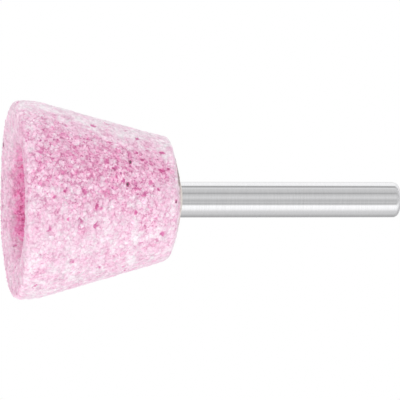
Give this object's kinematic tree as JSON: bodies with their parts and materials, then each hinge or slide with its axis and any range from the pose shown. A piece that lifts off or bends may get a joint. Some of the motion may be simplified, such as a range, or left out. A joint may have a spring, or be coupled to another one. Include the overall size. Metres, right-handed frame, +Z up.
{
  "type": "mounted point",
  "caption": "Tapered pink abrasive stone with a rounded rim and a recessed face, cemented on a straight ground steel spindle for a hand grinder.",
  "frame": {"origin": "centre of the rim of the stone's large face, on the plane it stands on", "axes": "+Z up through the stone and along the spindle to its free end; +X and +Y are any two square directions, because the part is round"},
  "size_m": [0.033, 0.033, 0.0658],
  "materials": {
    "stone": "coarse granular vitrified aluminium oxide, matt with small bright crystal faces",
    "steel": "centreless ground, fine lines round the axis, fairly bright",
    "cement": "matt beige cement with a darker edge"
  },
  "bodies": {
    "root": {"abrasive_stone": "stone", "spindle": "steel", "bond_cement": "cement"}
  },
  "joints": []
}
